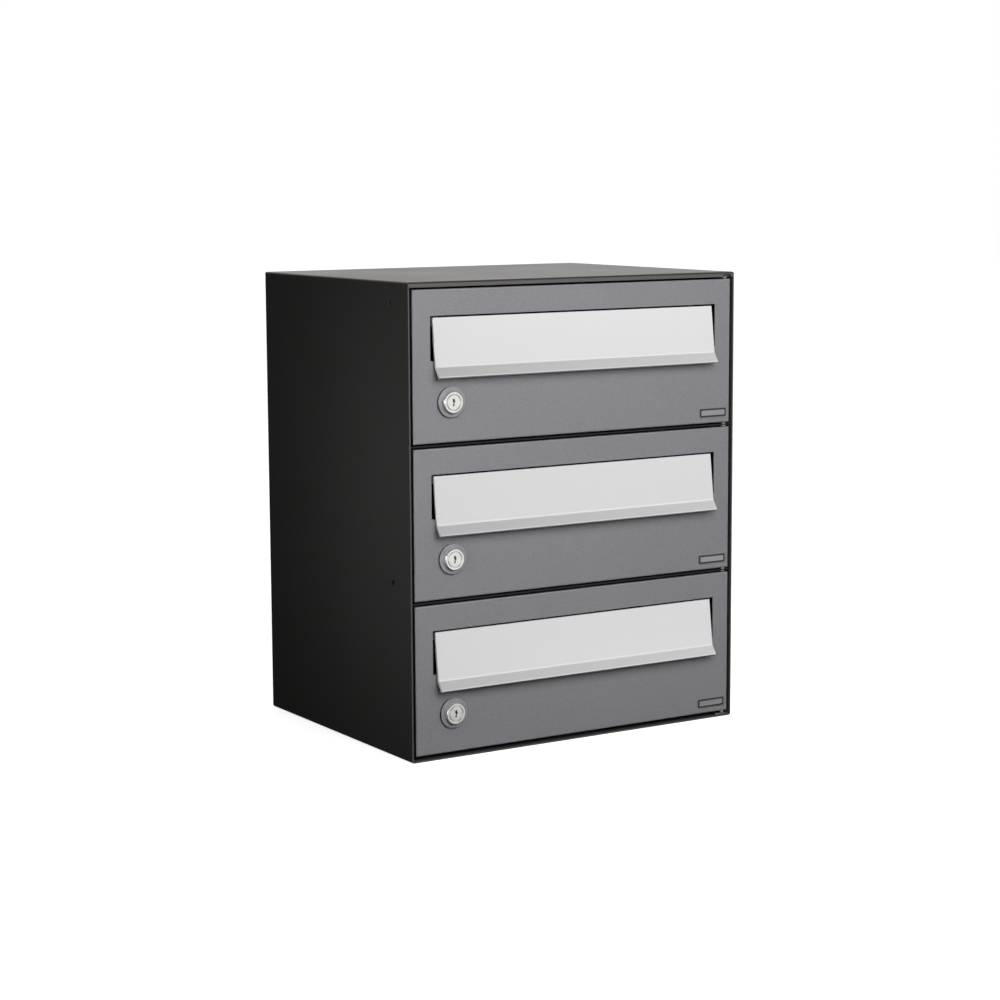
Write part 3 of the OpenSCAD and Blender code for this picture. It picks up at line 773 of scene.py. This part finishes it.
class MAILBOX_OT_locks(bpy.types.Operator):
    """Cam locks: rosette, barrel and nut on the door, and the plug, cam and screw that turn"""
    bl_idname = "mailbox.locks"
    bl_label = "Locks"

    def execute(self, context):
        colours = context.scene.mailbox_colours
        ring_face = material("rosette_grey", moulded, colours.rosette_colour, roughness=0.38)
        # The ring's side wall is painted near-black and dull: painted shade along its side.
        ring_wall_shade = material("rosette_wall", moulded, (0.006, 0.006, 0.006), roughness=0.5, specular=0.2)
        for level in LEVELS:
            door, lock = f"{level}_door", f"{level}_lock"
            low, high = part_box(f"{level}_lock_rosette")
            centre = Vector(((low.x + high.x) / 2, high.y, (low.z + high.z) / 2))
            radius, deep = (high.x - low.x) / 2, high.y - low.y
            bm = turned([(RING_BORE, 0), (radius, 0), (radius, RING_CHAMFER - deep),
                         (radius - RING_CHAMFER, -deep), (RING_BORE, -deep), (RING_BORE, 0)], centre)
            outward(bm)
            # Side faces take the dark wall material, which paints shade on them.
            for f in bm.faces:
                f.material_index = 1 if abs(f.normal.y) < 0.3 else 0
            make(f"{level}_rosette_ring", bm, door, [ring_face, ring_wall_shade], "rosette_grey",
                 [f"{level}_lock_rosette"], RING_EDGE, sharp=SHALLOW)

            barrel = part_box(f"{level}_lock_barrel")
            head, rear = barrel[0].y - centre.y, barrel[1].y - centre.y
            bm = turned([(PLUG_BORE, rear), (PLUG_BORE, head + HEAD_CHAMFER),
                         (PLUG_BORE + HEAD_CHAMFER, head), (HEAD_RADIUS - HEAD_CHAMFER, head),
                         (HEAD_RADIUS, head + HEAD_CHAMFER), (HEAD_RADIUS, -deep),
                         (SHANK_RADIUS, -deep), (SHANK_RADIUS, rear), (PLUG_BORE, rear)], centre)
            outward(bm)
            metal = material(f"{level}_lock_nickel", turned_metal, colours.nickel_colour, roughness=0.26,
                             centre=centre, rings=HEAD_RINGS)
            make(f"{level}_lock_head", bm, door, metal, "lock_nickel", [f"{level}_lock_barrel"],
                 FINE_EDGE, sharp=SHALLOW)

            bm = turned([(0, rear), (PLUG_RADIUS, rear), (PLUG_RADIUS, head + HEAD_CHAMFER),
                         (PLUG_RADIUS - HEAD_CHAMFER, head)], centre)
            self.keyway(bm, centre + along(Y, head))
            metal = material(f"{level}_plug_nickel", turned_metal, colours.nickel_colour, roughness=0.3,
                             centre=centre, rings=PLUG_RINGS)
            make(f"{level}_lock_core", bm, lock, metal, "plug_nickel", [f"{level}_lock_plug"], FINE_EDGE,
                 sharp=SHALLOW)
            plug_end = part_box(f"{level}_lock_plug")[1].y
            bm = box_mesh((centre.x - TAIL_HALF, centre.y + rear - TAIL_OVERLAP, centre.z - TAIL_HALF),
                          (centre.x + TAIL_HALF, plug_end, centre.z + TAIL_HALF))
            make(f"{level}_lock_tail", bm, lock, metal, "plug_nickel", (), ROUND_EDGE)
            for part, body in (("lock_nut", door), ("lock_cam", lock), ("cam_screw", lock)):
                node = f"{level}_{part}"
                make(f"{node}_steel", copy_of(node), body, zinc(colours), "zinc_steel", [node],
                     SMALL_EDGE)
        return {"FINISHED"}

    def keyway(self, bm, face_centre):
        """Fills the plug's face round a keyway, and sinks the keyway into it."""
        rim = [e for e in bm.edges if len(e.link_faces) == 1]
        outline = [bm.verts.new(face_centre + Vector((x * MM, 0, z * MM))) for x, z in KEYWAY]
        edges = [bm.edges.new(pair) for pair in zip(outline, outline[1:] + outline[:1])]
        bmesh.ops.triangle_fill(bm, use_beauty=True, edges=rim + edges, normal=along(Y, -1))
        inner = grow(bm, edges, along(Y, KEYWAY_DEPTH))
        bmesh.ops.contextual_create(bm, geom=inner)
        outward(bm)


# ---------------------------------------------------------------- stage

class MAILBOX_OT_stage(bpy.types.Operator):
    """Pale floor, soft lights and the camera"""
    bl_idname = "mailbox.stage"
    bl_label = "Floor, lights and camera"

    def execute(self, context):
        scene = context.scene
        scene.view_settings.view_transform = "Standard"
        self.floor(scene)
        self.world(scene)
        key = self.light(scene, "key_panel", (-0.15, -1.3, 1.0), aim=(0.0, -0.15, 0.5), size=1.0,
                         power=21.8)
        key.visible_glossy = False
        right = self.light(scene, "right_panel", (1.9, -2.9, 1.15), aim=(0, -0.14, 0.22), size=2.6,
                           power=19)
        right.visible_glossy = False
        for name, side, power in (("right_mirror", 1, 31), ("left_mirror", -1, 25)):
            mirror = self.light(scene, name, (1.9 * side, -2.9, 0.7), aim=(0, -0.14, 0.22), size=3.3,
                                power=power)
            mirror.visible_diffuse = False
        bounce = self.light(scene, "floor_bounce", (0.28, -0.5, 0.01), aim=(0.28, -0.5, 1.0), size=0.55,
                            power=0.2)
        bounce.visible_diffuse = False
        ceiling = self.light(scene, "ceiling_panel", (0.75, -1.0, 1.15), aim=(0.0, -0.15, 0.25), size=1.2,
                             power=1.8)
        ceiling.visible_diffuse = False
        self.light(scene, "left_panel", (-1.2, -0.5, 0.42), aim=(-0.185, -0.17, 0.25), size=0.3,
                   power=0.17, cone=math.radians(33))
        self.camera(scene)
        return {"FINISHED"}

    def camera(self, scene):
        """Looks at the front and the left side, from a little above."""
        camera = bpy.data.objects.new("camera", bpy.data.cameras.new("camera"))
        camera.data.lens = CAMERA_LENS
        camera.data.sensor_width = CAMERA_SENSOR
        camera.data.clip_start, camera.data.clip_end = CAMERA_NEAR, CAMERA_FAR
        forward = Vector(CAMERA_FORWARD).normalized()
        up = Vector(CAMERA_RIGHT).normalized().cross(forward).normalized()
        right = forward.cross(up)
        turn = Matrix((right, up, -forward)).transposed().to_4x4()
        camera.matrix_world = Matrix.Translation(CAMERA_PLACE) @ turn
        scene.collection.objects.link(camera)
        scene.camera = camera

    def floor(self, scene):
        """Wide white disc, just under the object, that neither shades nor mirrors in it."""
        bm = bmesh.new()
        bmesh.ops.create_circle(bm, cap_ends=True, segments=FLOOR_STEPS, radius=FLOOR_RADIUS,
                                matrix=Matrix.Translation(along(Z, -FLOOR_DROP)))
        mesh = bpy.data.meshes.new("floor")
        bm.to_mesh(mesh)
        bm.free()
        floor = bpy.data.objects.new("floor", mesh)
        scene.collection.objects.link(floor)
        surface, shader, add, link = node_kit("floor_white")
        shader.inputs["Base Color"].default_value = (0.8, 0.8, 0.8, 1)
        shader.inputs["Roughness"].default_value = 0.9
        shader.inputs["Emission Color"].default_value = (1, 1, 1, 1)
        shader.inputs["Emission Strength"].default_value = FLOOR_GLOW
        mesh.materials.append(surface)
        floor.visible_glossy = False
        floor.visible_diffuse = False
        floor.visible_shadow = False

    def world(self, scene):
        """White to the eye; the light on the object is a soft gradient, brightest on one side."""
        world = bpy.data.worlds.new("studio")
        scene.world = world
        world.use_nodes = True
        tree = world.node_tree
        tree.nodes.clear()
        new, link = tree.nodes.new, tree.links.new
        out = new("ShaderNodeOutputWorld")
        mix = new("ShaderNodeMixShader")
        path = new("ShaderNodeLightPath")
        plain, studio = new("ShaderNodeBackground"), new("ShaderNodeBackground")
        plain.inputs["Color"].default_value = (1, 1, 1, 1)
        plain.inputs["Strength"].default_value = 1.0
        place = new("ShaderNodeTexCoord")
        dot = new("ShaderNodeVectorMath")
        dot.operation = "DOT_PRODUCT"
        dot.inputs[1].default_value = Vector(GRADIENT_FROM).normalized()
        link(place.outputs["Generated"], dot.inputs[0])
        ramp = new("ShaderNodeMapRange")
        ramp.interpolation_type = "SMOOTHSTEP"
        for key, value in GRADIENT.items():
            ramp.inputs[key].default_value = value
        link(dot.outputs["Value"], ramp.inputs["Value"])
        studio.inputs["Color"].default_value = GRADIENT_COLOUR
        link(ramp.outputs["Result"], studio.inputs["Strength"])
        link(path.outputs["Is Camera Ray"], mix.inputs["Fac"])
        link(studio.outputs["Background"], mix.inputs[1])
        link(plain.outputs["Background"], mix.inputs[2])
        link(mix.outputs["Shader"], out.inputs["Surface"])

    def light(self, scene, name, place, aim, size, power, cone=math.pi):
        """Square area light at a place, turned to its aim."""
        lamp = bpy.data.lights.new(name, "AREA")
        lamp.shape = "SQUARE"
        lamp.size = size
        lamp.energy = power
        lamp.spread = cone
        lit = bpy.data.objects.new(name, lamp)
        lit.location = place
        lit.rotation_mode = "QUATERNION"
        lit.rotation_quaternion = (Vector(aim) - Vector(place)).to_track_quat("-Z", "Y")
        lit.visible_camera = False
        scene.collection.objects.link(lit)
        return lit


class MAILBOX_PT_panel(bpy.types.Panel):
    """Lists the steps that build the mailbox"""
    bl_idname = "MAILBOX_PT_panel"
    bl_label = "Cluster mailbox"
    bl_space_type = "VIEW_3D"
    bl_region_type = "UI"
    bl_category = "Mailbox"

    def draw(self, context):
        layout = self.layout
        for step in STEPS:
            layout.operator(step.bl_idname)
        for group in (context.scene.mailbox_sizes, context.scene.mailbox_colours):
            for key in group.__annotations__:
                layout.prop(group, key)


STEPS = (MAILBOX_OT_stage, MAILBOX_OT_casing, MAILBOX_OT_inner_panels, MAILBOX_OT_fittings,
         MAILBOX_OT_doors, MAILBOX_OT_flaps, MAILBOX_OT_locks)
CLASSES = (MailboxColours, MailboxSizes, *STEPS, MAILBOX_PT_panel)


def register():
    for cls in CLASSES:
        bpy.utils.register_class(cls)
    bpy.types.Scene.mailbox_colours = bpy.props.PointerProperty(type=MailboxColours)
    bpy.types.Scene.mailbox_sizes = bpy.props.PointerProperty(type=MailboxSizes)


def unregister():
    del bpy.types.Scene.mailbox_sizes
    del bpy.types.Scene.mailbox_colours
    for cls in reversed(CLASSES):
        bpy.utils.unregister_class(cls)


def main():
    register()
    for step in STEPS:
        group, name = step.bl_idname.split(".")
        getattr(getattr(bpy.ops, group), name)()


if __name__ == "__main__":
    main()
